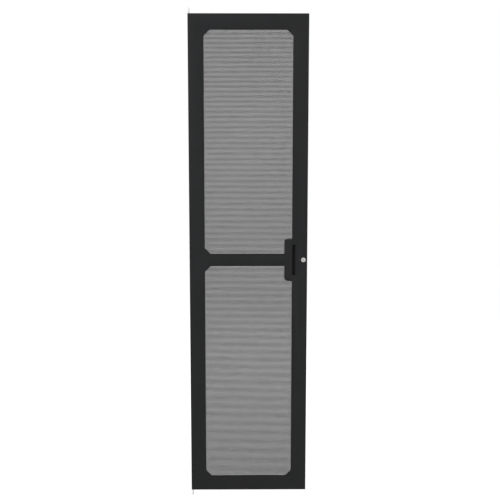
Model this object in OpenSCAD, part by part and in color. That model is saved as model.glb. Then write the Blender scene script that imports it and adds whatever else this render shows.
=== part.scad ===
// Perforated rack door: a folded steel frame with two perforated sheets, a
// recessed finger pull, a quarter-turn cam lock and two sprung hinge pins.
// Origin: on the hinge axis, at the shoulder of the lower hinge pin, which
// stands on the cabinet's lower bracket. +X runs from the hinge side to the
// lock side, +Y from the front face to the back, +Z up.

/* [Door panel] */

// Overall width of the door leaf
door_w = 490; // [460:1:600]

// Overall height of the door leaf
door_h = 2000; // [1800:5:2200]

// Depth of the folded edges, from the front face to the back
door_d = 22; // [20:0.5:28]

// Thickness of the frame's sheet steel
skin_t = 1.5; // [1.2:0.1:2]

// Outside radius of the folds
fold_r = 2.5; // [2.3:0.1:3.5]

// Width of the lips turned in along the back edges
lip_w = 12; // [9:0.5:14]

/* [Windows] */

// Width of the frame between the door's edges and the windows
margin = 64; // [58:1:80]

// Height of the crossbar between the two windows
crossbar_h = 50; // [40:1:70]

// Length of the cut corners of the windows, along each edge
corner_cut = 25; // [10:1:40]

/* [Perforated sheets] */

// Thickness of the perforated sheets
sheet_t = 1.2; // [0.8:0.1:2]

// Width by which a sheet laps behind the frame
sheet_lap = 14; // [12.5:0.5:18]

// Pitch of the punched holes, along a row and from row to row
hole_pitch = 5; // [4.5:0.5:8]

// Width of a punched hexagonal hole across its flats
hole_af = 2.8; // [2:0.1:3.4]

// Punched holes, each way, that one drawn hole stands for
hole_group = 6; // [6:1:12]

/* [Sheet fasteners] */

// Diameter of the weld studs that carry the sheets and the pull
stud_d = 4; // [3:0.5:4]

// Length of the weld studs behind the frame
stud_l = 9; // [8:0.5:12]

// Distance of the studs from the window's edge
stud_in = 8; // [7:0.5:9]

// Number of studs along each tall side of a window
side_studs = 5; // [3:1:7]

// Number of studs along the top and the bottom of a window
end_studs = 2; // [2:1:4]

// Distance of the first side stud from the window's end
stud_start = 90; // [88:1:120]

// Width of the flange nuts across their flats
nut_af = 7; // [7:0.5:7.5]

// Height of the flange nuts
nut_h = 4; // [3:0.5:5]

// Diameter of the flange under each nut
nut_flange_d = 9; // [8.5:0.5:9]

/* [Finger pull] */

// Height of the tab that carries the finger pull
tab_h = 177; // [172:1:190]

// Width of that tab from the window's edge
tab_w = 32; // [26:1:40]

// Radius of the tab's two free corners
tab_r = 14; // [5:1:16]

// Distance of the finger slot's centre line from the lock-side edge
slot_from_edge = 53; // [50:0.5:56]

// Width of the finger slot
slot_w = 21; // [18:0.5:24]

// Height of the finger slot
slot_h = 127; // [100:1:130]

// Radius of the finger slot's corners
slot_r = 2; // [1:0.5:5]

// Depth of the moulded pull pocket behind the frame
pocket_d = 16; // [12:0.5:17]

// Undercut of the pocket behind the tab, for the fingertips
pocket_hook = 9; // [5:0.5:10]

// Width of the pocket's sloped wall on the lock side
pocket_slope = 9; // [5:0.5:12]

// Wall thickness of the pocket
pocket_t = 1.6; // [1.2:0.1:2]

// Length of the pocket's rim beyond the slot's ends
pocket_rim = 12; // [11.5:0.5:13]

// Width of the pocket's rim along its sides
pocket_side_rim = 3; // [2:0.5:4]

/* [Cam lock] */

// Distance of the lock's axis from the lock-side edge
lock_from_edge = 16.5; // [15.5:0.5:18]

// Diameter of the lock's face
lock_head_d = 19.5; // [19:0.1:21]

// Height of the lock's face above the frame
lock_head_h = 1.8; // [1:0.1:3]

// Diameter of the lock's barrel
barrel_d = 16; // [15:0.5:16]

// Width across the barrel's two flats
barrel_flats = 13.6; // [12.5:0.1:14]

// Diameter of the turning plug
plug_d = 10.6; // [10:0.1:11]

// Diameter of the plug's face
plug_face_d = 12.4; // [12:0.1:13]

// Angle of the keyway below the horizontal, with the door locked
key_tilt = 35; // [0:1:90]

// Width of the plug's square tail
tail_w = 6.8; // [6:0.1:7]

// Thickness of the stop washer
stop_t = 1.1; // [0.8:0.1:1.5]

// Thickness of the cam
cam_t = 2.5; // [2:0.1:3]

// Length of the cam, from the lock's axis to its tip
cam_l = 20; // [18:0.5:24]

// Width of the cam's tongue
cam_w = 12; // [10:0.5:14]

// Gap between the door's back and the cam
cam_gap = 0.7; // [0.5:0.1:2]

// Quarter turn of the plug from locked to open
lock_turn = 90; // [60:5:90]

// Width of the lock nut across its flats
lock_nut_af = 19; // [18.5:0.5:20]

// Height of the lock nut
lock_nut_h = 4; // [3:0.5:6]

/* [Hinge pins] */

// Distance of the hinge axis from the hinge-side edge
pin_in = 6; // [5.9:0.1:7]

// Distance of the hinge axis behind the front face
pin_back = 9; // [8:0.5:11]

// Diameter of a pin's nose, which enters the cabinet's bracket
nose_d = 6; // [5.6:0.1:6.2]

// Diameter of a pin's shank, in the door
shank_d = 6.5; // [6.3:0.1:6.6]

// Height of a pin's shoulder above the door's edge
shoulder = 1; // [0.5:0.1:2]

// Reach of the upper pin above the door
upper_reach = 22.5; // [18:0.5:26]

// Reach of the lower pin below the door
lower_reach = 25; // [18:0.5:26]

// Length of the hinge springs as fitted
spring_l = 46; // [42:1:60]

// Diameter of the spring wire
wire_d = 0.8; // [0.6:0.05:0.8]

// Number of coils in a hinge spring
spring_turns = 9; // [6:1:12]

// Thickness of the hinge brackets
bracket_t = 2; // [1.5:0.1:2.5]

// Width of the hinge brackets
bracket_w = 18; // [14:0.5:24]

// Height of the bracket's foot, welded behind the front face
bracket_foot = 30; // [20:1:40]

// Space between the bracket and the bend of the pin's grip
grip_gap = 8; // [3:0.5:12]

// Radius of the bend between the shank and the grip
bend_r = 7; // [5:0.5:10]

// Length of the grip beyond the bend
grip_l = 22; // [15:1:26]

// Thickness of the retaining clips
clip_t = 0.8; // [0.6:0.1:1]

/* [Small parts] */

// Diameter of the rubber buffers on the lock-side lip
buffer_d = 9; // [7:0.5:9]

// Height of the rubber buffers
buffer_h = 3; // [2:0.5:4]

// Number of rubber buffers
buffers = 4; // [2:2:6]

// Distance of the end buffers from the door's ends
buffer_in = 150; // [100:5:200]

// Diameter of the earth stud
earth_d = 6; // [5:0.5:6]

// Length of the earth stud
earth_l = 15; // [12:0.5:17]

// Height of the earth stud above the door's bottom edge
earth_up = 150; // [120:5:200]

/* [Hidden] */

$fn = 48;

// Named clearances
run_gap = 0.08; // running fit of the pins, per side
plug_gap = 0.05; // running fit of the lock's plug, per side
thread_gap = 0.05; // screws and nuts on their threads, per side
stud_gap = 0.25; // studs in the sheets' holes, per side
barrel_gap = 0.15; // lock's barrel in the frame, per side
clip_gap = 0.05; // clips in their grooves, per side
coil_gap = 0.15; // springs around the shanks, per side
coil_end = 0.05; // springs' ends to their seats
rim_gap = 2; // sheets to the pull pocket's rim
hole_edge = 2; // punched holes to the window's edge
bracket_gap = 0.3; // pin brackets to the folded edge

// The door's faces
x0 = -pin_in;
x1 = x0 + door_w;
y0 = -pin_back;
y1 = y0 + door_d;
z0 = shoulder;
z1 = z0 + door_h;
zm = (z0 + z1) / 2;
skin_y = y0 + skin_t; // back of the front face
nut_y = skin_y + sheet_t; // back of the perforated sheets

// The windows
wx0 = x0 + margin;
wx1 = x1 - margin;
upper_z0 = zm + crossbar_h / 2;
upper_z1 = z1 - margin;
lower_z0 = z0 + margin;
lower_z1 = zm - crossbar_h / 2;
tab_x = wx1 - tab_w;
slot_x = x1 - slot_from_edge;
rim_x0 = slot_x - slot_w / 2 - pocket_hook - pocket_side_rim - pocket_t;
rim_x1 = slot_x + slot_w / 2 + pocket_side_rim + pocket_t;
rim_h = slot_h + 2 * pocket_rim;
lock_x = x1 - lock_from_edge;

// The drawn perforation
drawn_pitch = hole_pitch * hole_group;
drawn_af = hole_af * hole_group;
hex_d = drawn_af / cos(30);

// Places along the lock's axis
barrel_y = y1 + cam_gap - stop_t;
cam_y = y1 + cam_gap;
screw_y = cam_y + cam_t;
stop_nose = 30; // angle taken by the stop washer's nose
stop_play = 2; // free turn at each stop

// Places along the hinge pins, measured inwards from the door's edge
clip_at = skin_t;
coil_at = clip_at + clip_t;
ear_at = coil_at + spring_l;
bend_at = ear_at + bracket_t + grip_gap;
clip_d = shank_d + 2 * coil_gap + 2 * wire_d;
groove_d = shank_d - 1.1;

black_paint = [0.16, 0.165, 0.175];
zinc = [0.74, 0.75, 0.77];
nickel = [0.68, 0.68, 0.67];
black_plastic = [0.11, 0.11, 0.12];
rubber = [0.08, 0.08, 0.08];
spring_steel = [0.5, 0.51, 0.53];

// ---- Helpers: shapes drawn in a plane and run along one axis ----

// A shape drawn in X and Z, run back from y
module run_y(y, l) {
  translate([0, y + l, 0])
    rotate([90, 0, 0])
      linear_extrude(height = l)
        children();
}

// A shape drawn in Y and Z, run along X from x
module run_x(x, l) {
  translate([x, 0, 0])
    rotate([90, 0, 90])
      linear_extrude(height = l)
        children();
}

// A round bar along Y
module bar_y(x, z, y, l, d) {
  translate([x, y, z])
    rotate([-90, 0, 0])
      cylinder(h = l, d = d);
}

// A rectangle between two corners
module box2(ax, az, bx, bz) {
  translate([ax, az])
    square([bx - ax, bz - az]);
}

// A rectangle between two corners, with rounded corners
module round_box2(ax, az, bx, bz, r) {
  box2(ax + r, az, bx - r, bz);
  box2(ax, az + r, bx, bz - r);
  for (x = [ax + r, bx - r])
    for (z = [az + r, bz - r])
      translate([x, z])
        circle(r = r);
}

// A slice of a disc, from angle a0 to a1
module slice2(r, a0, a1) {
  polygon(concat([[0, 0]], [for (i = [0:8]) r * [cos(a0 + (a1 - a0) * i / 8), sin(a0 + (a1 - a0) * i / 8)]]));
}

// Points of an arc about c
function arc(c, r, a0, a1, n) =
  [for (i = [0:n]) c + r * [cos(a0 + (a1 - a0) * i / n), sin(a0 + (a1 - a0) * i / n)]];

// ---- Door panel ----

// Solid block with rounded edges, each face set in by s
module leaf_block(s) {
  intersection() {
    translate([0, 0, z0 + s])
      linear_extrude(height = door_h - 2 * s)
        round_box2(x0 + s, y0 + s, x1 - s, y1 - s, fold_r - s);
    run_x(x0 + s, door_w - 2 * s)
      round_box2(y0 + s, z0 + s, y1 - s, z1 - s, fold_r - s);
  }
}

// The tab that carries the finger pull, out to the window's edge
module tab2() {
  difference() {
    round_box2(tab_x, zm - tab_h / 2, wx1 + tab_r, zm + tab_h / 2, tab_r);
    box2(wx1, zm - tab_h, wx1 + 2 * tab_r, zm + tab_h);
  }
}

// One window from height a to b, with cut corners and the tab left standing
module window2(a, b) {
  c = corner_cut;
  difference() {
    polygon([
      [wx0 + c, a], [wx1 - c, a], [wx1, a + c], [wx1, b - c],
      [wx1 - c, b], [wx0 + c, b], [wx0, b - c], [wx0, a + c]
    ]);
    tab2();
  }
}

module door_panel() {
  color(black_paint)
    difference() {
      leaf_block(0);
      leaf_block(skin_t);
      // back left open inside the lips
      run_y(y1 - 2 * skin_t, 3 * skin_t)
        box2(x0 + lip_w, z0 + lip_w, x1 - lip_w, z1 - lip_w);
      run_y(y0 - 1, 2 * skin_t + 1)
        window2(upper_z0, upper_z1);
      run_y(y0 - 1, 2 * skin_t + 1)
        window2(lower_z0, lower_z1);
      run_y(y0 - 1, skin_t + 2)
        round_box2(slot_x - slot_w / 2, zm - slot_h / 2, slot_x + slot_w / 2, zm + slot_h / 2, slot_r);
      // flatted hole that keeps the lock from turning
      run_y(y0 - 1, skin_t + 2)
        intersection() {
          translate([lock_x, zm])
            circle(d = barrel_d + 2 * barrel_gap);
          box2(lock_x - barrel_flats / 2 - barrel_gap, zm - barrel_d,
               lock_x + barrel_flats / 2 + barrel_gap, zm + barrel_d);
        }
      // lip cut away behind the lock
      run_y(y1 - 2 * skin_t, 3 * skin_t)
        box2(x1 - lip_w - 1, zm - 2 * barrel_d, x1 - fold_r, zm + 2 * barrel_d);
      // holes for the hinge pins
      translate([0, 0, z0 - 1])
        cylinder(h = skin_t + 2, d = shank_d + 2 * run_gap);
      translate([0, 0, z1 - skin_t - 1])
        cylinder(h = skin_t + 2, d = shank_d + 2 * run_gap);
    }
}

// ---- Perforated sheets ----

// Is a drawn hole at x, z clear of the window's edges by e?
function in_window(x, z, a, b, e) =
  x > wx0 + e && x < wx1 - e && z > a + e && z < b - e
  && min(x - wx0, wx1 - x) + min(z - a, b - z) > corner_cut + 1.5 * e
  && !(x > tab_x - e && abs(z - zm) < tab_h / 2 + e);

module holes2(a, b) {
  cx = (wx0 + wx1) / 2;
  cz = (a + b) / 2;
  nx = ceil((wx1 - wx0) / drawn_pitch / 2) + 1;
  nz = ceil((b - a) / drawn_pitch / 2) + 1;
  e = drawn_af / 2 + hole_edge;
  for (j = [-nz:nz])
    for (i = [-nx:nx]) {
      x = cx + (i + (j % 2 == 0 ? 0 : 0.5)) * drawn_pitch;
      z = cz + (j + 0.5) * drawn_pitch;
      if (in_window(x, z, a, b, e))
        translate([x, z])
          rotate(30)
            circle(d = hex_d, $fn = 6);
    }
}

// Stud places around the window from a to b, as [x, z]
function stud_places(a, b) = concat(
  [for (x = [wx0 - stud_in, wx1 + stud_in]) for (i = [0:side_studs - 1])
    [x, a + stud_start + i * (b - a - 2 * stud_start) / (side_studs - 1)]],
  [for (z = [a - stud_in, b + stud_in]) for (i = [0:end_studs - 1])
    [wx0 + (tab_x - wx0) * (i + 0.5) / end_studs, z]]
);

module sheet(a, b) {
  run_y(skin_y, sheet_t)
    difference() {
      box2(wx0 - sheet_lap, a - sheet_lap, wx1 + sheet_lap, b + sheet_lap);
      // clear of the finger pull, behind the tab
      box2(rim_x0 - rim_gap, zm - rim_h / 2 - rim_gap, wx1 + 2 * sheet_lap, zm + rim_h / 2 + rim_gap);
      holes2(a, b);
      for (p = stud_places(a, b))
        translate(p)
          circle(d = stud_d + 2 * stud_gap);
    }
}

module upper_perforated_sheet() {
  color(black_paint)
    sheet(upper_z0, upper_z1);
}

module lower_perforated_sheet() {
  color(black_paint)
    sheet(lower_z0, lower_z1);
}

// ---- Studs and nuts ----

// Weld studs on the back of the frame, with a chamfered end
module weld_stud(p, d, l) {
  translate([p[0], skin_y, p[1]])
    rotate([-90, 0, 0])
      rotate_extrude()
        polygon([[0, 0], [d / 2, 0], [d / 2, l - 0.6], [d / 2 - 0.6, l], [0, l]]);
}

// Hexagonal nut with a flange, seated at y
module flange_nut(p, y, d, af, fd, h) {
  translate([p[0], y, p[1]])
    rotate([-90, 0, 0])
      difference() {
        union() {
          cylinder(h = h, d = af / cos(30), $fn = 6);
          cylinder(h = h / 4, d = fd);
        }
        translate([0, 0, -1])
          cylinder(h = h + 2, d = d + 2 * thread_gap);
      }
}

module upper_sheet_studs() {
  color(zinc)
    for (p = stud_places(upper_z0, upper_z1))
      weld_stud(p, stud_d, stud_l);
}

module lower_sheet_studs() {
  color(zinc)
    for (p = stud_places(lower_z0, lower_z1))
      weld_stud(p, stud_d, stud_l);
}

module upper_sheet_nuts() {
  color(zinc)
    for (p = stud_places(upper_z0, upper_z1))
      flange_nut(p, nut_y, stud_d, nut_af, nut_flange_d, nut_h);
}

module lower_sheet_nuts() {
  color(zinc)
    for (p = stud_places(lower_z0, lower_z1))
      flange_nut(p, nut_y, stud_d, nut_af, nut_flange_d, nut_h);
}

// ---- Finger pull ----

pull_places = [for (s = [-1, 1]) [slot_x, zm + s * (slot_h / 2 + pocket_t / 2 + pocket_rim / 2)]];

// Section of the pocket in X and Y, grown outwards by g
module pocket_section(g) {
  a = slot_x - slot_w / 2 - pocket_hook - g;
  b = slot_x + slot_w / 2 + g;
  f = skin_y + pocket_d - pocket_t + g;
  r = 4 + g;
  polygon(concat(
    [[a, skin_y], [b, skin_y]],
    arc([b - pocket_slope - r, f - r], r, 40, 90, 5),
    arc([a + r, f - r], r, 90, 180, 6)
  ));
}

module pull_pocket() {
  color(black_plastic)
    difference() {
      union() {
        translate([0, 0, zm - slot_h / 2 - pocket_t])
          linear_extrude(height = slot_h + 2 * pocket_t)
            pocket_section(pocket_t);
        run_y(skin_y, pocket_t)
          round_box2(rim_x0, zm - rim_h / 2, rim_x1, zm + rim_h / 2, 2);
      }
      // the hollow, open at the front
      translate([0, 0, zm - slot_h / 2])
        linear_extrude(height = slot_h)
          union() {
            pocket_section(0);
            translate([slot_x - slot_w / 2 - pocket_hook, skin_y - 1])
              square([slot_w + pocket_hook, 1.01]);
          }
      for (p = pull_places)
        bar_y(p[0], p[1], skin_y - 1, pocket_t + 2, stud_d + 2 * stud_gap);
    }
}

module pull_pocket_studs() {
  color(zinc)
    for (p = pull_places)
      weld_stud(p, stud_d, stud_l);
}

module pull_pocket_nuts() {
  color(zinc)
    for (p = pull_places)
      flange_nut(p, skin_y + pocket_t, stud_d, nut_af, nut_flange_d, nut_h);
}

// ---- Cam lock ----

module lock_housing() {
  color(nickel)
    difference() {
      union() {
        // face with a bevelled edge
        translate([lock_x, y0, zm])
          rotate([90, 0, 0])
            rotate_extrude()
              polygon([
                [0, 0], [lock_head_d / 2, 0], [lock_head_d / 2, lock_head_h - 0.8],
                [lock_head_d / 2 - 0.8, lock_head_h], [0, lock_head_h]
              ]);
        // barrel with two flats
        run_y(y0 - 0.5, barrel_y - y0 + 0.5)
          intersection() {
            translate([lock_x, zm])
              circle(d = barrel_d);
            box2(lock_x - barrel_flats / 2, zm - barrel_d, lock_x + barrel_flats / 2, zm + barrel_d);
          }
        // raised rim that stops the washer's nose at each end of the turn
        run_y(barrel_y - 0.5, stop_t + 0.4)
          difference() {
            intersection() {
              translate([lock_x, zm])
                circle(d = barrel_d);
              box2(lock_x - barrel_flats / 2, zm - barrel_d, lock_x + barrel_flats / 2, zm + barrel_d);
            }
            translate([lock_x, zm])
              circle(d = plug_d + 3 + 2 * plug_gap);
            translate([lock_x, zm])
              slice2(barrel_d, 90 - lock_turn - stop_nose / 2 - stop_play, 90 + stop_nose / 2 + stop_play);
          }
      }
      bar_y(lock_x, zm, y0 - lock_head_h - 1, door_d + lock_head_h + 5, plug_d + 2 * plug_gap);
      bar_y(lock_x, zm, y0 - lock_head_h - 1, 3 + plug_gap, plug_face_d + 2 * plug_gap);
    }
}

module lock_nut() {
  color(nickel)
    translate([lock_x, skin_y, zm])
      rotate([-90, 0, 0])
        difference() {
          cylinder(h = lock_nut_h, d = lock_nut_af / cos(30), $fn = 6);
          translate([0, 0, -1])
            cylinder(h = lock_nut_h + 2, d = barrel_d + 2 * thread_gap);
        }
}

module lock_plug() {
  face_y = y0 - lock_head_h;
  color(nickel)
    difference() {
      union() {
        bar_y(lock_x, zm, face_y, 2, plug_face_d);
        bar_y(lock_x, zm, face_y + 1, barrel_y - face_y - 1, plug_d);
        // square tail that carries the stop washer and the cam
        run_y(barrel_y - 1, stop_t + cam_t + 0.9)
          box2(lock_x - tail_w / 2, zm - tail_w / 2, lock_x + tail_w / 2, zm + tail_w / 2);
      }
      // keyway
      translate([lock_x, face_y - 1, zm])
        rotate([0, key_tilt, 0])
          translate([-4, 0, -0.6])
            cube([8, 9, 1.2]);
      bar_y(lock_x, zm, barrel_y - 6, 20, 4 + 2 * thread_gap);
    }
}

module lock_stop_washer() {
  color(zinc)
    run_y(barrel_y, stop_t)
      difference() {
        union() {
          translate([lock_x, zm])
            circle(d = plug_d + 3);
          translate([lock_x, zm])
            intersection() {
              slice2(barrel_d, 90 - stop_nose / 2, 90 + stop_nose / 2);
              circle(d = barrel_d - 0.6);
            }
        }
        box2(lock_x - tail_w / 2 - plug_gap, zm - tail_w / 2 - plug_gap,
             lock_x + tail_w / 2 + plug_gap, zm + tail_w / 2 + plug_gap);
      }
}

module lock_cam() {
  color(zinc)
    run_y(cam_y, cam_t)
      difference() {
        union() {
          translate([lock_x, zm])
            circle(d = barrel_d);
          polygon([
            [lock_x, zm - cam_w / 2], [lock_x + cam_l - 2, zm - cam_w / 2],
            [lock_x + cam_l, zm - cam_w / 2 + 2], [lock_x + cam_l, zm + cam_w / 2 - 2],
            [lock_x + cam_l - 2, zm + cam_w / 2], [lock_x, zm + cam_w / 2]
          ]);
        }
        box2(lock_x - tail_w / 2 - plug_gap, zm - tail_w / 2 - plug_gap,
             lock_x + tail_w / 2 + plug_gap, zm + tail_w / 2 + plug_gap);
      }
}

module cam_screw() {
  color(zinc)
    translate([lock_x, screw_y, zm])
      rotate([-90, 0, 0])
        difference() {
          union() {
            translate([0, 0, -8])
              cylinder(h = 8.5, d = 4);
            rotate_extrude()
              polygon(concat([[0, 0]], [[4.6, 0], [4.6, 0.8]], arc([3, 0.8], 1.6, 0, 90, 4), [[0, 2.4]]));
          }
          // cross recess
          for (a = [0, 90])
            rotate(a)
              translate([-2, -0.4, 1.1])
                cube([4, 0.8, 3]);
        }
}

// ---- Hinge pins ----

// Everything of a hinge set is drawn pointing up, with the door's edge at
// height 0 and the inside of the door below it.

module bracket_section() {
  r = bracket_t;
  run_x(x0 + skin_t + bracket_gap, bracket_w)
    union() {
      // foot on the back of the front face
      box2(skin_y, -ear_at - bracket_t - bracket_foot, skin_y + bracket_t, -ear_at - bracket_t - r);
      // ear around the pin
      box2(skin_y + bracket_t + r, -ear_at - bracket_t, 6, -ear_at);
      // bend between them
      intersection() {
        difference() {
          translate([skin_y + bracket_t + r, -ear_at - bracket_t - r])
            circle(r = bracket_t + r);
          translate([skin_y + bracket_t + r, -ear_at - bracket_t - r])
            circle(r = r);
        }
        box2(skin_y - 1, -ear_at - bracket_t - r, skin_y + bracket_t + r, -ear_at + 1);
      }
    }
}

module bracket_with_hole() {
  difference() {
    intersection() {
      bracket_section();
      // edge eased to sit in the panel's fold
      translate([0, 0, -ear_at - 2 * bracket_t - bracket_foot])
        linear_extrude(height = bracket_foot + 3 * bracket_t)
          round_box2(x0 + skin_t + bracket_gap, skin_y, x1, y1 + bracket_t, fold_r - skin_t);
    }
    translate([0, 0, -ear_at - bracket_t - 1])
      cylinder(h = bracket_t + 2, d = shank_d + 2 * run_gap);
  }
}

// Pin with a nose, a shoulder, a clip groove and a bent grip
module hinge_pin(reach) {
  rotate_extrude()
    polygon([
      [0, reach], [nose_d / 2 - 1, reach], [nose_d / 2, reach - 1], [nose_d / 2, shoulder],
      [shank_d / 2, shoulder], [shank_d / 2, -clip_at], [groove_d / 2, -clip_at],
      [groove_d / 2, -coil_at], [shank_d / 2, -coil_at], [shank_d / 2, -bend_at], [0, -bend_at]
    ]);
  translate([bend_r, 0, -bend_at])
    rotate([90, 0, 0])
      rotate([0, 0, 180])
        rotate_extrude(angle = 90)
          translate([bend_r, 0])
            circle(d = shank_d);
  translate([bend_r, 0, -bend_at - bend_r])
    rotate([0, 90, 0])
      rotate_extrude()
        polygon([[0, 0], [shank_d / 2, 0], [shank_d / 2, grip_l - 1], [shank_d / 2 - 1, grip_l], [0, grip_l]]);
}

// Open retaining ring in the pin's groove
module hinge_clip() {
  translate([0, 0, -coil_at])
    linear_extrude(height = clip_t)
      difference() {
        circle(d = clip_d);
        circle(d = groove_d + 2 * clip_gap);
        translate([0, -groove_d * 0.35])
          square([clip_d, groove_d * 0.7]);
      }
}

// Height of the wire's centre above the spring's end after t turns
function coil_height(t) =
  let(w = wire_d / 2, c = 1.3 * wire_d, l = spring_l - 2 * coil_end)
  t < 1 ? w + t * c
  : t > spring_turns - 1 ? l - w - (spring_turns - t) * c
  : w + c + (t - 1) * (l - 2 * w - 2 * c) / (spring_turns - 2);

module hinge_spring() {
  steps = 12;
  sides = 6;
  n = steps * spring_turns;
  r = shank_d / 2 + coil_gap + wire_d / 2;
  points = [
    for (i = [0:n]) for (j = [0:sides - 1])
      let(a = 360 * i / steps, b = 360 * j / sides, q = r + wire_d / 2 * cos(b))
      [q * cos(a), q * sin(a), coil_height(i / steps) + wire_d / 2 * sin(b)]
  ];
  side_faces = [
    for (i = [0:n - 1]) for (j = [0:sides - 1])
      let(p = i * sides + j, q = i * sides + (j + 1) % sides)
      each [[p, q, q + sides], [p, q + sides, p + sides]]
  ];
  first = [for (j = [sides - 1:-1:0]) j];
  last = [for (j = [0:sides - 1]) n * sides + j];
  translate([0, 0, -ear_at + coil_end])
    polyhedron(points = points, faces = concat(side_faces, [first, last]));
}

// Sets a hinge piece at the top or the bottom of the door
module at_top() {
  translate([0, 0, z1])
    children();
}

module at_bottom() {
  translate([0, 0, z0])
    mirror([0, 0, 1])
      children();
}

module upper_hinge_bracket() {
  color(black_paint)
    at_top()
      bracket_with_hole();
}

module upper_hinge_pin() {
  color(zinc)
    at_top()
      hinge_pin(upper_reach);
}

module upper_hinge_spring() {
  color(spring_steel)
    at_top()
      hinge_spring();
}

module upper_hinge_clip() {
  color(spring_steel)
    at_top()
      hinge_clip();
}

module lower_hinge_bracket() {
  color(black_paint)
    at_bottom()
      bracket_with_hole();
}

module lower_hinge_pin() {
  color(zinc)
    at_bottom()
      hinge_pin(lower_reach);
}

module lower_hinge_spring() {
  color(spring_steel)
    at_bottom()
      hinge_spring();
}

module lower_hinge_clip() {
  color(spring_steel)
    at_bottom()
      hinge_clip();
}

// ---- Small parts ----

module rubber_buffers() {
  color(rubber)
    for (i = [0:buffers - 1])
      translate([x1 - lip_w / 2, y1, z0 + buffer_in + i * (door_h - 2 * buffer_in) / (buffers - 1)])
        rotate([-90, 0, 0])
          rotate_extrude()
            polygon(concat(
              [[0, 0], [buffer_d / 2, 0]],
              arc([buffer_d / 2 - 1.5, buffer_h - 1.5], 1.5, 0, 90, 4),
              [[0, buffer_h]]
            ));
}

earth_place = [x0 + margin / 2, z0 + earth_up];

module earth_stud() {
  color(zinc)
    weld_stud(earth_place, earth_d, earth_l);
}

module earth_nut() {
  color(zinc)
    flange_nut(earth_place, skin_y + 1.2, earth_d, earth_d + 4, earth_d + 7, earth_d);
}

// ---- Assembly ----

door_panel();
upper_perforated_sheet();
lower_perforated_sheet();
upper_sheet_studs();
lower_sheet_studs();
upper_sheet_nuts();
lower_sheet_nuts();
pull_pocket();
pull_pocket_studs();
pull_pocket_nuts();
lock_housing();
lock_nut();
lock_plug();
lock_stop_washer();
lock_cam();
cam_screw();
upper_hinge_bracket();
upper_hinge_pin();
upper_hinge_spring();
upper_hinge_clip();
lower_hinge_bracket();
lower_hinge_pin();
lower_hinge_spring();
lower_hinge_clip();
rubber_buffers();
earth_stud();
earth_nut();
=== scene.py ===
import math

import bmesh
import bpy
from bpy.props import FloatProperty, FloatVectorProperty, IntProperty, PointerProperty
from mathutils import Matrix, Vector


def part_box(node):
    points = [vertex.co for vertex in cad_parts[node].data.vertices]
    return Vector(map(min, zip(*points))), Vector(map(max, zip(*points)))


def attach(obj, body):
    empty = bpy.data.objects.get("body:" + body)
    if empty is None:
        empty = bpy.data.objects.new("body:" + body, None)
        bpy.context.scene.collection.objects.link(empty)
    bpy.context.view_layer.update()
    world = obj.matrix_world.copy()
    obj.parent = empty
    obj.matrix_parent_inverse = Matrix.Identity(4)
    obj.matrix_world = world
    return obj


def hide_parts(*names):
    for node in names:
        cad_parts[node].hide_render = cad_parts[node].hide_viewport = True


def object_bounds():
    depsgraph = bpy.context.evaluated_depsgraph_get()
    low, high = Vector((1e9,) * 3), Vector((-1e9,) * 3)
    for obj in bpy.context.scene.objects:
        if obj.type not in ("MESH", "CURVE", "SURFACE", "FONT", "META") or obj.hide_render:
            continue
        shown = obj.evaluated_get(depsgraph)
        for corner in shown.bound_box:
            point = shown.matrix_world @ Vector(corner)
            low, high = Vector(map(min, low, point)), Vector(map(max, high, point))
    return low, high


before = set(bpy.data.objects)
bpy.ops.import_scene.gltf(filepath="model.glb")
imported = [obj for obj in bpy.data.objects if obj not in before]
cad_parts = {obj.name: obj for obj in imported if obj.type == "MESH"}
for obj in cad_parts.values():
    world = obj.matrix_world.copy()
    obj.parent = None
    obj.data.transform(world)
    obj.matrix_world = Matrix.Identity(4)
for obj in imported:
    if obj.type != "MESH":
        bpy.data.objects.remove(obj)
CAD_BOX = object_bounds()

bl_info = {
    "name": "Perforated rack door",
    "version": (1, 0, 0),
    "blender": (4, 5, 0),
    "location": "View3D > Sidebar > Rack Door",
    "description": "Dresses the perforated rack door: sheets, paint, lock, hinge pins and stage",
    "category": "Object",
}

MM = 0.001
SLOPE_ACROSS = 16 * MM  # the pull's rim and sloped wall, across the door
# width over which the painted highlight on the pull's sloped wall fades in
PAINTED_HIGHLIGHT_FADE = 4 * MM
CUT_REACH = 12 * MM  # how far around a notch the sheet's faces are cut
FLOOR_SIZE = 14
FLOOR_COLOUR = (0.5, 0.5, 0.5, 1)
FLOOR_GLOW = 0.75  # lifts the floor to white where no shadow lies
WHITE = (1, 1, 1, 1)

# name, place beside the door's middle, height that it aims at, size and power
LIGHTS = (
    ("key_light", (-1.9, -3.4, 3.1), 1.1, 2.4, 62),
    ("fill_light", (2.3, -3.0, 1.6), 1.0, 2.4, 26),
    ("back_light", (1.2, 3.2, 2.6), 1.0, 2.4, 40),
)


# ---- Sizes and colours that a user would change ----

class DoorSizes(bpy.types.PropertyGroup):
    hole_pitch: FloatProperty(
        name="Hole pitch", description="Distance between punched holes, in a row and from row to row",
        default=5 * MM, min=3 * MM, max=12 * MM, unit="LENGTH")
    hole_width: FloatProperty(
        name="Hole width", description="Width of a hexagonal hole across its flats",
        default=2.6 * MM, min=1 * MM, max=10 * MM, unit="LENGTH")
    sheet_pieces: IntProperty(
        name="Pieces a sheet", description="Number of meshes that each sheet is split into",
        default=3, min=1, max=6)
    edge_round: FloatProperty(
        name="Cut edge radius", description="Softening of the cut edges of the painted steel",
        default=0.3 * MM, min=0.05 * MM, max=0.6 * MM, unit="LENGTH")


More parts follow.
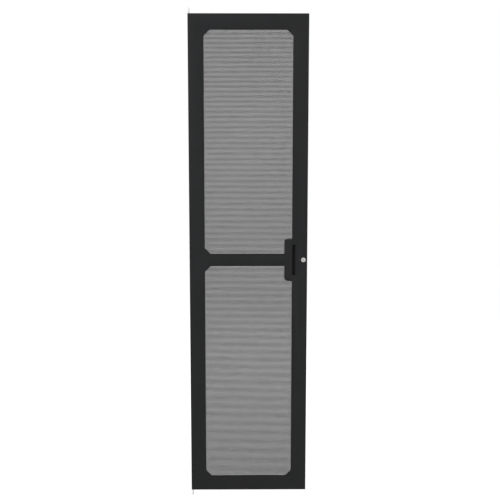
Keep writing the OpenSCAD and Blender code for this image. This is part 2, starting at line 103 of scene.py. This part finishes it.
class DoorFinishes(bpy.types.PropertyGroup):
    paint: FloatVectorProperty(
        name="Frame paint", description="Powder coat of the folded frame",
        default=(0.0132, 0.0137, 0.0146), size=3, min=0, max=1, subtype="COLOR")
    sheet_paint: FloatVectorProperty(
        name="Sheet paint", description="Powder coat of the perforated sheets",
        default=(0.0105, 0.0110, 0.0118), size=3, min=0, max=1, subtype="COLOR")
    zinc: FloatVectorProperty(
        name="Zinc", description="Zinc plating of pins, studs, nuts and cam",
        default=(0.60, 0.61, 0.63), size=3, min=0, max=1, subtype="COLOR")
    nickel: FloatVectorProperty(
        name="Nickel", description="Satin nickel of the lock",
        default=(0.45, 0.445, 0.435), size=3, min=0, max=1, subtype="COLOR")
    wire: FloatVectorProperty(
        name="Spring steel", description="Oiled wire of springs and clips",
        default=(0.30, 0.305, 0.315), size=3, min=0, max=1, subtype="COLOR")
    plastic: FloatVectorProperty(
        name="Pull plastic", description="Moulded plastic of the pull's pocket",
        default=(0.0055, 0.0055, 0.006), size=3, min=0, max=1, subtype="COLOR")
    rubber: FloatVectorProperty(
        name="Buffer rubber", description="Rubber of the buffers",
        default=(0.014, 0.014, 0.014), size=3, min=0, max=1, subtype="COLOR")


class DoorStage(bpy.types.PropertyGroup):
    eye_offset: FloatProperty(
        name="Eye offset", description="Sideways distance of the eye from the door's middle",
        default=-0.024, unit="LENGTH")
    eye_distance: FloatProperty(
        name="Eye distance", description="Distance of the eye from the front face",
        default=3.562, unit="LENGTH")
    eye_height: FloatProperty(
        name="Eye height", description="Height of the eye above the door's bottom edge",
        default=1.505, unit="LENGTH")
    eye_down: FloatProperty(
        name="Downward tilt", description="Angle by which the eye looks down",
        default=math.radians(7.41), subtype="ANGLE")
    eye_right: FloatProperty(
        name="Turn to the right", description="Angle by which the eye looks to the lock side",
        default=math.radians(0.49), subtype="ANGLE")
    lens: FloatProperty(
        name="Lens", description="Focal length on a 36 mm wide frame", default=62.25)
    floor_drop: FloatProperty(
        name="Floor below the door", description="Distance of the floor below the lower hinge pin's tip",
        default=0.09, unit="LENGTH")
    ambient: FloatProperty(
        name="Ambient light", description="Strength of the even light from all sides",
        default=0.52, min=0, max=2)


# ---- Small helpers for modelling ----

def deselect():
    if bpy.context.object and bpy.context.object.mode != "OBJECT":
        bpy.ops.object.mode_set(mode="OBJECT")
    bpy.ops.object.select_all(action="DESELECT")


def take(piece):
    """Makes one object the only selected and active one."""
    deselect()
    piece.select_set(True)
    bpy.context.view_layer.objects.active = piece


def edit(piece, select="SELECT"):
    take(piece)
    bpy.ops.object.mode_set(mode="EDIT")
    bpy.ops.mesh.select_mode(type="FACE")
    bpy.ops.mesh.select_all(action=select)


def leave_edit():
    bpy.ops.object.mode_set(mode="OBJECT")


def set_in_mesh(piece):
    """Applies the object's place, so that it sits at the origin like a CAD node."""
    take(piece)
    bpy.ops.object.transform_apply(location=True, rotation=True, scale=True)


def apply_modifier(piece, kind, **settings):
    take(piece)
    modifier = piece.modifiers.new(kind.title(), kind)
    for key, value in settings.items():
        setattr(modifier, key, value)
    bpy.ops.object.modifier_apply(modifier=modifier.name)


def merged_copy(node, name):
    """A copy of a CAD node's mesh, with its loose triangles joined and flat faces made whole."""
    piece = bpy.data.objects.new(name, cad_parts[node].data.copy())
    bpy.context.scene.collection.objects.link(piece)
    piece.data.materials.clear()
    edit(piece)
    bpy.ops.mesh.remove_doubles(threshold=0.002 * MM)
    bpy.ops.mesh.dissolve_limited(angle_limit=math.radians(0.6))
    leave_edit()
    return piece


def soften(piece, width, segments=2, angle=40):
    apply_modifier(
        piece, "BEVEL", width=width, segments=segments, limit_method="ANGLE",
        angle_limit=math.radians(angle), use_clamp_overlap=True)


def smooth(piece, angle=35):
    take(piece)
    bpy.ops.object.shade_smooth_by_angle(angle=math.radians(angle))


def hand_over(piece, body, slot, material, *nodes):
    """Gives a finished piece its material and its body, and hides the CAD nodes it stands for; the slot
    argument is not used.
    """
    piece.data.materials.clear()
    piece.data.materials.append(material)
    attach(piece, body)
    if nodes:
        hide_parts(*nodes)
    return piece


def paint_node(node, material):
    """A better material on a CAD node whose shape stays."""
    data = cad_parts[node].data
    data.materials.clear()
    data.materials.append(material)


# ---- Materials ----

class Nodes:
    """Adds and links shader nodes of one material."""

    def __init__(self, name):
        self.material = bpy.data.materials.new(name)
        self.material.use_nodes = True
        self.tree = self.material.node_tree
        self.tree.nodes.clear()
        self.out = self.tree.nodes.new("ShaderNodeOutputMaterial")
        self.shader = self.tree.nodes.new("ShaderNodeBsdfPrincipled")
        self.link(self.shader.outputs["BSDF"], self.out.inputs["Surface"])
        self.place = self.tree.nodes.new("ShaderNodeTexCoord").outputs["Object"]

    def link(self, output, target):
        self.tree.links.new(output, target)

    def set(self, **values):
        for key, value in values.items():
            self.shader.inputs[key.replace("_", " ")].default_value = value

    def noise(self, scale, detail=2.0, roughness=0.5, place=None):
        node = self.tree.nodes.new("ShaderNodeTexNoise")
        node.inputs["Scale"].default_value = scale
        node.inputs["Detail"].default_value = detail
        node.inputs["Roughness"].default_value = roughness
        self.link(place or self.place, node.inputs["Vector"])
        return node.outputs["Fac"]

    def spread(self, value, low, high, start=0.3, end=0.7):
        """Turns a noise value into a number from low to high."""
        node = self.tree.nodes.new("ShaderNodeMapRange")
        node.inputs["From Min"].default_value = start
        node.inputs["From Max"].default_value = end
        node.inputs["To Min"].default_value = low
        node.inputs["To Max"].default_value = high
        self.link(value, node.inputs["Value"])
        return node.outputs["Result"]

    def blend(self, value, first, second):
        node = self.tree.nodes.new("ShaderNodeMix")
        node.data_type = "RGBA"
        node.inputs["A"].default_value = (*first, 1)
        node.inputs["B"].default_value = (*second, 1)
        self.link(value, node.inputs["Factor"])
        return node.outputs["Result"]

    def bump(self, height, distance, strength=1.0, below=None):
        node = self.tree.nodes.new("ShaderNodeBump")
        node.inputs["Distance"].default_value = distance
        node.inputs["Strength"].default_value = strength
        self.link(height, node.inputs["Height"])
        if below is not None:
            self.link(below, node.inputs["Normal"])
        return node.outputs["Normal"]


def shade(colour, factor):
    return tuple(min(1.0, c * factor) for c in colour)


def powder_coat(name, colour, gloss=0.5, specular=0.15):
    """Satin powder coat: a fine orange peel, and slightly uneven tone and gloss."""
    m = Nodes(name)
    m.set(Metallic=0.0)
    m.shader.inputs["Specular IOR Level"].default_value = specular
    cloud = m.spread(m.noise(9.0, 3.0), 0, 1)
    m.link(m.blend(cloud, shade(colour, 0.9), shade(colour, 1.12)), m.shader.inputs["Base Color"])
    m.link(m.spread(m.noise(140.0, 2.0), gloss - 0.05, gloss + 0.06), m.shader.inputs["Roughness"])
    peel = m.bump(m.noise(420.0, 2.0), 0.05 * MM, 0.5)
    m.link(m.bump(m.noise(2400.0, 1.0), 0.012 * MM, 0.5, peel), m.shader.inputs["Normal"])
    return m.material


def plated(name, colour, low, high, grain=1200.0):
    """Plated steel: bright, with a faint uneven bloom and fine drawn grain."""
    m = Nodes(name)
    m.set(Metallic=1.0)
    bloom = m.spread(m.noise(160.0, 4.0, 0.6), 0, 1)
    m.link(m.blend(bloom, shade(colour, 0.86), shade(colour, 1.08)), m.shader.inputs["Base Color"])
    m.link(m.spread(m.noise(500.0, 3.0), low, high), m.shader.inputs["Roughness"])
    m.link(m.bump(m.noise(grain, 2.0), 0.006 * MM, 0.5), m.shader.inputs["Normal"])
    return m.material


def turned_nickel(name, colour, centre):
    """Satin nickel with the fine rings that turning leaves around the lock's axis."""
    m = Nodes(name)
    m.set(Metallic=1.0)
    move = m.tree.nodes.new("ShaderNodeMapping")
    move.inputs["Location"].default_value = tuple(-c for c in centre)
    m.link(m.place, move.inputs["Vector"])
    rings = m.tree.nodes.new("ShaderNodeTexWave")
    rings.wave_type = "RINGS"
    rings.rings_direction = "Y"
    rings.inputs["Scale"].default_value = 900.0
    rings.inputs["Distortion"].default_value = 1.5
    rings.inputs["Detail"].default_value = 2.0
    m.link(move.outputs["Vector"], rings.inputs["Vector"])
    fine = rings.outputs["Fac"]
    m.link(m.blend(m.spread(m.noise(300.0, 3.0), 0, 1), shade(colour, 0.94), shade(colour, 1.05)),
           m.shader.inputs["Base Color"])
    m.link(m.spread(fine, 0.26, 0.36, 0.0, 1.0), m.shader.inputs["Roughness"])
    m.link(m.bump(fine, 0.004 * MM, 0.6), m.shader.inputs["Normal"])
    return m.material


def moulded(name, colour, gloss, painted_light_from, painted_light_to):
    """Moulded plastic with a spark-eroded grain, and a painted highlight that colours it paler from one
    x to another, where the sloped wall faces the key light.
    """
    m = Nodes(name)
    m.shader.inputs["Specular IOR Level"].default_value = 0.1
    apart = m.tree.nodes.new("ShaderNodeSeparateXYZ")
    m.link(m.place, apart.inputs["Vector"])
    # painted highlight: the sloped wall is coloured up to six times paler, standing in for the light
    # that falls on it
    painted_light_mask = m.spread(apart.outputs["X"], 0, 1, painted_light_from, painted_light_to)
    m.link(m.blend(painted_light_mask, colour, shade(colour, 6.0)), m.shader.inputs["Base Color"])
    m.link(m.spread(m.noise(900.0, 2.0), gloss - 0.06, gloss + 0.06), m.shader.inputs["Roughness"])
    m.link(m.bump(m.noise(1500.0, 3.0), 0.03 * MM, 0.6), m.shader.inputs["Normal"])
    return m.material


def soft_rubber(name, colour):
    m = Nodes(name)
    m.shader.inputs["Specular IOR Level"].default_value = 0.25
    dust = m.spread(m.noise(220.0, 4.0), 0, 1, 0.45, 0.85)
    m.link(m.blend(dust, colour, shade(colour, 1.6)), m.shader.inputs["Base Color"])
    m.link(m.spread(m.noise(400.0, 2.0), 0.72, 0.88), m.shader.inputs["Roughness"])
    m.link(m.bump(m.noise(1100.0, 2.0), 0.02 * MM, 0.5), m.shader.inputs["Normal"])
    return m.material


MATERIALS = {}


def finish(name):
    """The material of one finish, made once."""
    if name not in MATERIALS:
        looks = bpy.context.scene.rack_door_finishes
        make = {
            "frame_paint": lambda: powder_coat("frame_powder_coat", looks.paint),
            "sheet_paint": lambda: powder_coat("sheet_powder_coat", looks.sheet_paint, 0.55, 0.12),
            "zinc_steel": lambda: plated("zinc_plating", looks.zinc, 0.3, 0.42),
            "lock_nickel": lambda: turned_nickel("turned_nickel", looks.nickel, lock_axis()),
            "spring_steel": lambda: plated("spring_wire", looks.wire, 0.25, 0.4, 2500.0),
            "pull_plastic": lambda: moulded(
                "pull_plastic", looks.plastic, 0.5, slope_start(), slope_start() + PAINTED_HIGHLIGHT_FADE),
            "buffer_rubber": lambda: soft_rubber("buffer_rubber", looks.rubber),
        }[name]
        MATERIALS[name] = make()
    return MATERIALS[name]


def slope_start():
    """Where the floor of the pull's pocket meets its sloped wall, across the door."""
    low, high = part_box("pull_pocket")
    return high.x - SLOPE_ACROSS


def lock_axis():
    """The middle of the lock's face."""
    low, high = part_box("lock_housing")
    return ((low.x + high.x) / 2, low.y, (low.z + high.z) / 2)


# ---- Perforated sheets ----

def hexagon_at(x, z, radius):
    """Adds one hole's outline, standing in the sheet's plane."""
    bpy.ops.mesh.primitive_circle_add(
        vertices=6, radius=radius, fill_type="NOTHING", location=(x, 0, z),
        rotation=(math.pi / 2, 0, 0))


def join_corners(piece, corners):
    """Makes one face between corners that are given by their places."""
    mesh = bmesh.from_edit_mesh(piece.data)
    for vertex in mesh.verts:
        near = any((vertex.co - Vector(c)).length < 1e-6 for c in corners)
        vertex.select_set(near)
    mesh.select_flush_mode()
    bmesh.update_edit_mesh(piece.data)
    bpy.ops.mesh.edge_face_add()


def punched_cell(name, pitch, width):
    """The metal around two holes, one in each of two rows, that repeats over the sheet."""
    radius = width / 2 / math.cos(math.pi / 6)

    def centre(i, j):
        return ((i + (0.5 if j % 2 else 0.0)) * pitch, j * pitch)

    def corner(cell, k):
        """Corner k of a hole, counted anticlockwise from its top."""
        x, z = centre(*cell)
        a = math.pi / 2 + k * math.pi / 3
        return (x + radius * math.cos(a), 0.0, z + radius * math.sin(a))

    def turn_corner_up(cell):
        """Turns the selected outline so that one of its corners is at its top."""
        x, z = centre(*cell)
        mesh = bmesh.from_edit_mesh(piece.data)
        ring = [v for v in mesh.verts if v.select]
        ring.sort(key=lambda v: math.atan2(v.co.z - z, v.co.x - x))
        for k, vertex in enumerate(ring):
            vertex.co = corner(cell, k + 2)
        bmesh.update_edit_mesh(piece.data)

    deselect()
    hexagon_at(*centre(0, 0), radius)
    piece = bpy.context.active_object
    piece.name = name
    set_in_mesh(piece)
    bpy.ops.object.mode_set(mode="EDIT")
    bpy.ops.mesh.select_mode(type="VERT")
    bpy.ops.mesh.select_all(action="SELECT")
    turn_corner_up((0, 0))
    for cell in ((1, 0), (0, 1), (-1, 1), (1, 1), (0, 2), (1, 2)):
        hexagon_at(*centre(*cell), radius)
        turn_corner_up(cell)
    for row, up_left, up_right in (((0, 0), (-1, 1), (0, 1)), ((0, 1), (0, 2), (1, 2))):
        beside = (row[0] + 1, row[1])
        join_corners(piece, [corner(row, 4), corner(row, 5), corner(beside, 1), corner(beside, 2)])
        join_corners(piece, [corner(row, 5), corner(row, 0), corner(up_right, 2), corner(up_right, 3)])
        join_corners(piece, [corner(row, 0), corner(row, 1), corner(up_left, 3), corner(up_left, 4)])
        join_corners(piece, [corner(row, 0), corner(up_left, 4), corner(up_right, 2)])
        join_corners(piece, [corner(row, 5), corner(beside, 1), corner(up_right, 3)])
    bpy.ops.mesh.select_all(action="SELECT")
    bpy.ops.mesh.delete_loose()
    leave_edit()
    return piece


def cut(piece, point, normal, inner=False, outer=False):
    edit(piece)
    bpy.ops.mesh.bisect(
        plane_co=point, plane_no=normal, clear_inner=inner, clear_outer=outer, use_fill=False)
    leave_edit()


def drop_corner(piece, x, z_low, z_high):
    """Takes the metal beyond x and between two heights out of a flat sheet."""
    planes = (((x, 0, 0), (1, 0, 0)), ((0, 0, z_low), (0, 0, 1)), ((0, 0, z_high), (0, 0, 1)))
    for point, normal in planes:
        edit(piece, "DESELECT")
        mesh = bmesh.from_edit_mesh(piece.data)
        for face in mesh.faces:
            c = face.calc_center_median()
            face.select_set(
                c.x > x - CUT_REACH and z_low - CUT_REACH < c.z < z_high + CUT_REACH)
        bmesh.update_edit_mesh(piece.data)
        if any(face.select for face in mesh.faces):
            bpy.ops.mesh.bisect(plane_co=point, plane_no=normal, use_fill=False)
        leave_edit()
    edit(piece, "DESELECT")
    mesh = bmesh.from_edit_mesh(piece.data)
    for face in mesh.faces:
        c = face.calc_center_median()
        face.select_set(c.x > x and z_low < c.z < z_high)
    bmesh.update_edit_mesh(piece.data)
    bpy.ops.mesh.delete(type="FACE")
    leave_edit()


def make_sheet(node):
    """One perforated sheet, punched all over at its true pitch, in a few pieces."""
    sizes = bpy.context.scene.rack_door_sizes
    pitch = sizes.hole_pitch
    low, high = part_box(node)
    pocket_low, pocket_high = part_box("pull_pocket")
    clear = 2 * MM
    width, height = high.x - low.x, high.z - low.z
    columns = math.ceil(width / pitch) + 3
    rows = 2 * (math.ceil(height / pitch / 2) + 2)
    start_x = low.x + (width - (columns - 0.5) * pitch) / 2
    start_z = low.z + (height - (rows - 1) * pitch) / 2

    flat = punched_cell(node + "_punched", pitch, sizes.hole_width)
    apply_modifier(
        flat, "ARRAY", count=columns, use_relative_offset=False, use_constant_offset=True,
        constant_offset_displace=(pitch, 0, 0), use_merge_vertices=True, merge_threshold=1e-5)
    apply_modifier(
        flat, "ARRAY", count=rows // 2, use_relative_offset=False, use_constant_offset=True,
        constant_offset_displace=(0, 0, 2 * pitch), use_merge_vertices=True, merge_threshold=1e-5)
    flat.location = (start_x, low.y, start_z)
    set_in_mesh(flat)
    cut(flat, (low.x, 0, 0), (1, 0, 0), inner=True)
    cut(flat, (high.x, 0, 0), (1, 0, 0), outer=True)
    cut(flat, (0, 0, low.z), (0, 0, 1), inner=True)
    cut(flat, (0, 0, high.z), (0, 0, 1), outer=True)
    drop_corner(flat, pocket_low.x - clear, pocket_low.z - clear, pocket_high.z + clear)

    pieces = []
    count = sizes.sheet_pieces
    for k in range(count):
        part = bpy.data.objects.new(f"{node}_{k + 1}", flat.data.copy())
        bpy.context.scene.collection.objects.link(part)
        # pieces meet half-way between two rows of holes
        bounds = []
        for share in (k / count, (k + 1) / count):
            row = round((low.z + share * height - start_z) / pitch - 0.5)
            bounds.append(start_z + (row + 0.5) * pitch)
        if k > 0:
            cut(part, (0, 0, bounds[0]), (0, 0, 1), inner=True)
        if k < count - 1:
            cut(part, (0, 0, bounds[1]), (0, 0, 1), outer=True)
        edit(part)
        bpy.ops.mesh.normals_make_consistent(inside=False)
        leave_edit()
        facing = sum(p.normal.y * p.area for p in part.data.polygons)
        apply_modifier(
            part, "SOLIDIFY", thickness=high.y - low.y, offset=-1.0 if facing < 0 else 1.0)
        pieces.append(hand_over(part, "door", "sheet_paint", finish("sheet_paint"), node))
    bpy.data.objects.remove(flat)
    return pieces


# ---- Operators: one for each piece or group of like pieces ----

class RACKDOOR_OT_frame(bpy.types.Operator):
    """Softens the cut edges of the folded frame and coats it"""
    bl_idname = "rackdoor.frame"
    bl_label = "Frame"

    def execute(self, context):
        sizes = context.scene.rack_door_sizes
        panel = merged_copy("door_panel", "frame_panel")
        soften(panel, sizes.edge_round)
        smooth(panel)
        hand_over(panel, "door", "frame_paint", finish("frame_paint"), "door_panel")
        for side in ("upper", "lower"):
            bracket = merged_copy(f"{side}_hinge_bracket", f"{side}_pin_bracket")
            soften(bracket, sizes.edge_round)
            smooth(bracket)
            hand_over(bracket, "door", "frame_paint", finish("frame_paint"), f"{side}_hinge_bracket")
        return {"FINISHED"}


class RACKDOOR_OT_sheets(bpy.types.Operator):
    """Punches the two sheets at their true pitch"""
    bl_idname = "rackdoor.sheets"
    bl_label = "Perforated sheets"

    def execute(self, context):
        for node in ("upper_perforated_sheet", "lower_perforated_sheet"):
            make_sheet(node)
        return {"FINISHED"}


class RACKDOOR_OT_pull(bpy.types.Operator):
    """Finishes the moulded pocket of the finger pull"""
    bl_idname = "rackdoor.pull"
    bl_label = "Finger pull"

    def execute(self, context):
        pocket = merged_copy("pull_pocket", "pull_pocket_moulding")
        soften(pocket, 0.4 * MM, 3)
        smooth(pocket)
        hand_over(pocket, "door", "pull_plastic", finish("pull_plastic"), "pull_pocket")
        return {"FINISHED"}


class RACKDOOR_OT_lock(bpy.types.Operator):
    """Finishes the cam lock: housing, plug, nut, washer, cam and screw"""
    bl_idname = "rackdoor.lock"
    bl_label = "Cam lock"

    def execute(self, context):
        parts = (
            ("lock_housing", "lock_body", "door", "lock_nickel", 0.2 * MM),
            ("lock_nut", "lock_hex_nut", "door", "lock_nickel", 0.3 * MM),
            ("lock_plug", "lock_key_plug", "lock_core", "lock_nickel", 0.12 * MM),
            ("lock_stop_washer", "lock_stop", "lock_core", "zinc_steel", 0.12 * MM),
            ("lock_cam", "lock_tongue", "lock_core", "zinc_steel", 0.25 * MM),
            ("cam_screw", "tongue_screw", "lock_core", "zinc_steel", 0.1 * MM),
        )
        for node, name, body, slot, width in parts:
            piece = merged_copy(node, name)
            soften(piece, width)
            smooth(piece)
            hand_over(piece, body, slot, finish(slot), node)
        return {"FINISHED"}


class RACKDOOR_OT_hinge_pins(bpy.types.Operator):
    """Finishes the sprung hinge pins with their springs and clips"""
    bl_idname = "rackdoor.hinge_pins"
    bl_label = "Hinge pins"

    def execute(self, context):
        for side in ("upper", "lower"):
            body = f"{side}_pin"
            pin = merged_copy(f"{side}_hinge_pin", f"{side}_bent_pin")
            smooth(pin, 30)
            hand_over(pin, body, "zinc_steel", finish("zinc_steel"), f"{side}_hinge_pin")
            spring = merged_copy(f"{side}_hinge_spring", f"{side}_coil_spring")
            smooth(spring, 80)
            hand_over(spring, body, "spring_steel", finish("spring_steel"), f"{side}_hinge_spring")
            clip = merged_copy(f"{side}_hinge_clip", f"{side}_ring_clip")
            soften(clip, 0.12 * MM)
            smooth(clip)
            hand_over(clip, body, "spring_steel", finish("spring_steel"), f"{side}_hinge_clip")
        return {"FINISHED"}


class RACKDOOR_OT_fasteners(bpy.types.Operator):
    """Finishes the weld studs and flange nuts"""
    bl_idname = "rackdoor.fasteners"
    bl_label = "Studs and nuts"

    def execute(self, context):
        for group in ("upper_sheet", "lower_sheet", "pull_pocket"):
            studs = merged_copy(f"{group}_studs", f"{group}_threads")
            smooth(studs, 30)
            hand_over(studs, "door", "zinc_steel", finish("zinc_steel"), f"{group}_studs")
            nuts = merged_copy(f"{group}_nuts", f"{group}_flange_nuts")
            soften(nuts, 0.25 * MM)
            smooth(nuts)
            hand_over(nuts, "door", "zinc_steel", finish("zinc_steel"), f"{group}_nuts")
        for node, name in (("earth_stud", "earth_thread"), ("earth_nut", "earth_flange_nut")):
            piece = merged_copy(node, name)
            soften(piece, 0.3 * MM)
            smooth(piece)
            hand_over(piece, "door", "zinc_steel", finish("zinc_steel"), node)
        return {"FINISHED"}


class RACKDOOR_OT_buffers(bpy.types.Operator):
    """Finishes the rubber buffers"""
    bl_idname = "rackdoor.buffers"
    bl_label = "Rubber buffers"

    def execute(self, context):
        buffers = merged_copy("rubber_buffers", "soft_buffers")
        smooth(buffers, 50)
        hand_over(buffers, "door", "buffer_rubber", finish("buffer_rubber"), "rubber_buffers")
        return {"FINISHED"}


class RACKDOOR_OT_stage(bpy.types.Operator):
    """Sets the floor, the lights, the white surround and the camera"""
    bl_idname = "rackdoor.stage"
    bl_label = "Stage"

    def execute(self, context):
        stage = context.scene.rack_door_stage
        low, high = CAD_BOX
        panel_low, panel_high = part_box("door_panel")
        middle = (panel_low.x + panel_high.x) / 2
        build_floor(middle, low[2] - stage.floor_drop)
        build_world(stage.ambient)
        for name, (x, y, z), aim, size, power in LIGHTS:
            area_light(name, (middle + x, y, z), (middle, 0, aim), size, power)
        data = bpy.data.cameras.new("eye")
        data.lens = stage.lens
        data.sensor_width = 36
        data.clip_end = 100
        camera = bpy.data.objects.new("eye", data)
        camera.location = (
            middle + stage.eye_offset, panel_low.y - stage.eye_distance,
            panel_low.z + stage.eye_height)
        camera.rotation_euler = (math.pi / 2 - stage.eye_down, 0, -stage.eye_right)
        context.scene.collection.objects.link(camera)
        context.scene.camera = camera
        context.scene.view_settings.view_transform = "Standard"
        return {"FINISHED"}


# ---- Stage ----

def build_floor(x, z):
    deselect()
    bpy.ops.mesh.primitive_plane_add(size=FLOOR_SIZE, location=(x, 0, z))
    floor = bpy.context.active_object
    floor.name = "floor"
    material = bpy.data.materials.new("pale_floor")
    material.use_nodes = True
    tree = material.node_tree
    tree.nodes.clear()
    out = tree.nodes.new("ShaderNodeOutputMaterial")
    diffuse = tree.nodes.new("ShaderNodeBsdfDiffuse")
    diffuse.inputs["Color"].default_value = FLOOR_COLOUR
    glow = tree.nodes.new("ShaderNodeEmission")
    glow.inputs["Color"].default_value = WHITE
    total = tree.nodes.new("ShaderNodeAddShader")
    seen = seen_rays(tree)
    lift = tree.nodes.new("ShaderNodeMath")
    lift.operation = "MULTIPLY"
    lift.inputs[1].default_value = FLOOR_GLOW
    tree.links.new(seen, lift.inputs[0])
    tree.links.new(lift.outputs[0], glow.inputs["Strength"])
    tree.links.new(diffuse.outputs[0], total.inputs[0])
    tree.links.new(glow.outputs[0], total.inputs[1])
    tree.links.new(total.outputs[0], out.inputs["Surface"])
    floor.data.materials.append(material)


def seen_rays(tree):
    """1 for rays from the camera, and those that glossy and clear surfaces send on; else 0."""
    path = tree.nodes.new("ShaderNodeLightPath")
    first = tree.nodes.new("ShaderNodeMath")
    first.operation = "MAXIMUM"
    second = tree.nodes.new("ShaderNodeMath")
    second.operation = "MAXIMUM"
    tree.links.new(path.outputs["Is Camera Ray"], first.inputs[0])
    tree.links.new(path.outputs["Is Glossy Ray"], first.inputs[1])
    tree.links.new(first.outputs[0], second.inputs[0])
    tree.links.new(path.outputs["Is Transmission Ray"], second.inputs[1])
    return second.outputs[0]


def build_world(ambient):
    world = bpy.data.worlds.new("white_surround")
    bpy.context.scene.world = world
    world.use_nodes = True
    tree = world.node_tree
    tree.nodes.clear()
    out = tree.nodes.new("ShaderNodeOutputWorld")
    glow = tree.nodes.new("ShaderNodeBackground")
    glow.inputs["Color"].default_value = WHITE
    level = tree.nodes.new("ShaderNodeMapRange")
    level.inputs["To Min"].default_value = ambient
    level.inputs["To Max"].default_value = 1.0
    tree.links.new(seen_rays(tree), level.inputs["Value"])
    tree.links.new(level.outputs["Result"], glow.inputs["Strength"])
    tree.links.new(glow.outputs[0], out.inputs["Surface"])


def area_light(name, place, target, size, power):
    data = bpy.data.lights.new(name, "AREA")
    data.shape = "DISK"
    data.size = size
    data.energy = power
    light = bpy.data.objects.new(name, data)
    light.location = place
    aim = Vector(target) - Vector(place)
    light.rotation_euler = aim.to_track_quat("-Z", "Y").to_euler()
    bpy.context.scene.collection.objects.link(light)


# ---- Panel, registration and the whole build ----

STEPS = (
    "frame", "sheets", "pull", "lock", "hinge_pins", "fasteners", "buffers", "stage",
)


class RACKDOOR_PT_panel(bpy.types.Panel):
    """Lists the door's pieces, sizes and finishes"""
    bl_idname = "RACKDOOR_PT_panel"
    bl_label = "Perforated rack door"
    bl_space_type = "VIEW_3D"
    bl_region_type = "UI"
    bl_category = "Rack Door"

    def draw(self, context):
        for group in (context.scene.rack_door_sizes, context.scene.rack_door_finishes,
                      context.scene.rack_door_stage):
            box = self.layout.box()
            for key in group.bl_rna.properties.keys():
                if key not in ("rna_type", "name"):
                    box.prop(group, key)
        for step in STEPS:
            self.layout.operator(f"rackdoor.{step}")


CLASSES = (
    DoorSizes, DoorFinishes, DoorStage,
    RACKDOOR_OT_frame, RACKDOOR_OT_sheets, RACKDOOR_OT_pull, RACKDOOR_OT_lock,
    RACKDOOR_OT_hinge_pins, RACKDOOR_OT_fasteners, RACKDOOR_OT_buffers, RACKDOOR_OT_stage,
    RACKDOOR_PT_panel,
)


def register():
    for each in CLASSES:
        bpy.utils.register_class(each)
    bpy.types.Scene.rack_door_sizes = PointerProperty(type=DoorSizes)
    bpy.types.Scene.rack_door_finishes = PointerProperty(type=DoorFinishes)
    bpy.types.Scene.rack_door_stage = PointerProperty(type=DoorStage)


def unregister():
    del bpy.types.Scene.rack_door_sizes
    del bpy.types.Scene.rack_door_finishes
    del bpy.types.Scene.rack_door_stage
    for each in reversed(CLASSES):
        bpy.utils.unregister_class(each)


def main():
    register()
    for step in STEPS:
        getattr(bpy.ops.rackdoor, step)()
    deselect()


if __name__ == "__main__":
    main()
